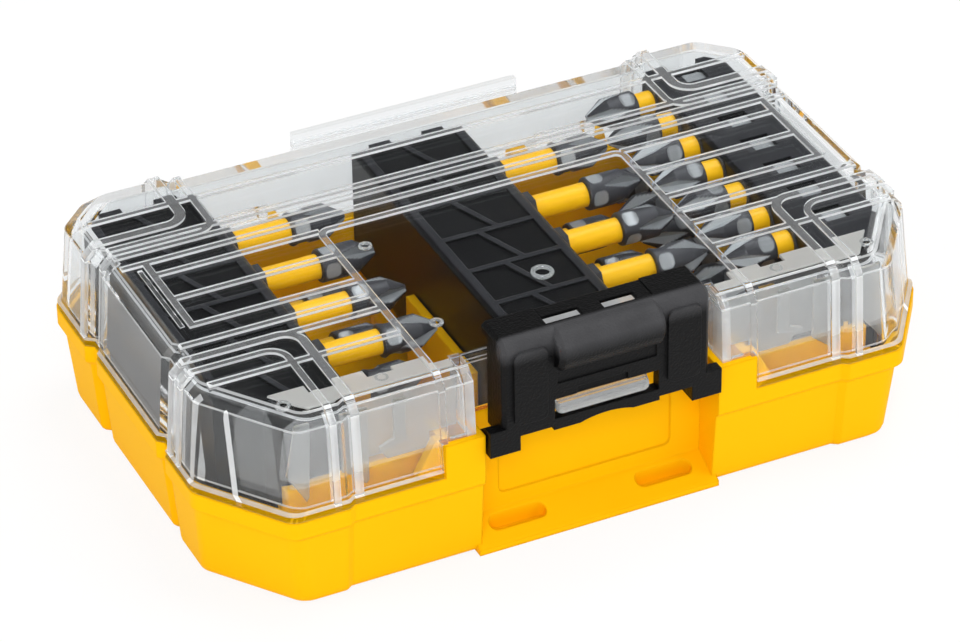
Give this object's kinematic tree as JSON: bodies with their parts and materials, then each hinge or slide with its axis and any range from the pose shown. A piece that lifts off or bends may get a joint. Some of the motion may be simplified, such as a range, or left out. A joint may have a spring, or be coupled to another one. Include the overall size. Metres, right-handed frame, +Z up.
{
  "type": "screwdriver bit set",
  "caption": "Latched case with a clear hinged lid over a coloured tub, holding lift-out bars of hex-shank screwdriver bits.",
  "frame": {"origin": "on the table under the middle of the closed case", "axes": "+X along the long side, +Y from the latch to the hinge, +Z up"},
  "size_m": [0.16, 0.106, 0.0502],
  "materials": {
    "yellow_plastic": "moulded, satin",
    "clear_plastic": "clear moulded",
    "black_latch_plastic": "fine texture",
    "black_bar_plastic": "moulded",
    "yellow_band_plastic": "moulded",
    "dark_steel": "dark phosphate with bright wear facets"
  },
  "bodies": {
    "base": {"base_shell": "yellow_plastic", "centre_bit_bar": "black_bar_plastic", "centre_lower_bands": "yellow_band_plastic", "centre_lower_bit_1": "dark_steel", "centre_lower_bit_2": "dark_steel", "centre_lower_bit_3": "dark_steel", "centre_upper_bands": "yellow_band_plastic", "centre_upper_bit_1": "dark_steel", "centre_upper_bit_2": "dark_steel", "centre_upper_bit_3": "dark_steel", "centre_upper_bit_4": "dark_steel", "left_bit_bar": "black_bar_plastic", "left_lower_bands": "yellow_band_plastic", "left_lower_bit_1": "dark_steel", "left_lower_bit_2": "dark_steel", "left_lower_bit_3": "dark_steel", "left_upper_bands": "yellow_band_plastic", "left_upper_bit_1": "dark_steel", "left_upper_bit_2": "dark_steel", "left_upper_bit_3": "dark_steel", "left_upper_bit_4": "dark_steel", "right_bit_bar": "black_bar_plastic", "right_lower_bands": "yellow_band_plastic", "right_lower_bit_1": "dark_steel", "right_lower_bit_2": "dark_steel", "right_lower_bit_3": "dark_steel", "right_lower_bit_4": "dark_steel", "right_lower_bit_5": "dark_steel", "right_lower_bit_6": "dark_steel", "right_upper_bands": "yellow_band_plastic", "right_upper_bit_1": "dark_steel", "right_upper_bit_2": "dark_steel", "right_upper_bit_3": "dark_steel", "right_upper_bit_4": "dark_steel", "right_upper_bit_5": "dark_steel", "right_upper_bit_6": "dark_steel", "right_upper_bit_7": "dark_steel"},
    "lid": {"lid": "clear_plastic"},
    "latch": {"latch": "black_latch_plastic"}
  },
  "joints": [
    {"name": "lid_hinge", "type": "hinge", "parent": "base", "child": "lid", "pos_m": [0, 0.0506, 0.022], "axis": [-1, 0, 0], "range_deg": [0, 105]},
    {"name": "latch_hinge", "type": "hinge", "parent": "base", "child": "latch", "pos_m": [0, -0.046, 0.027], "axis": [1, 0, 0], "range_deg": [0, 110]}
  ]
}
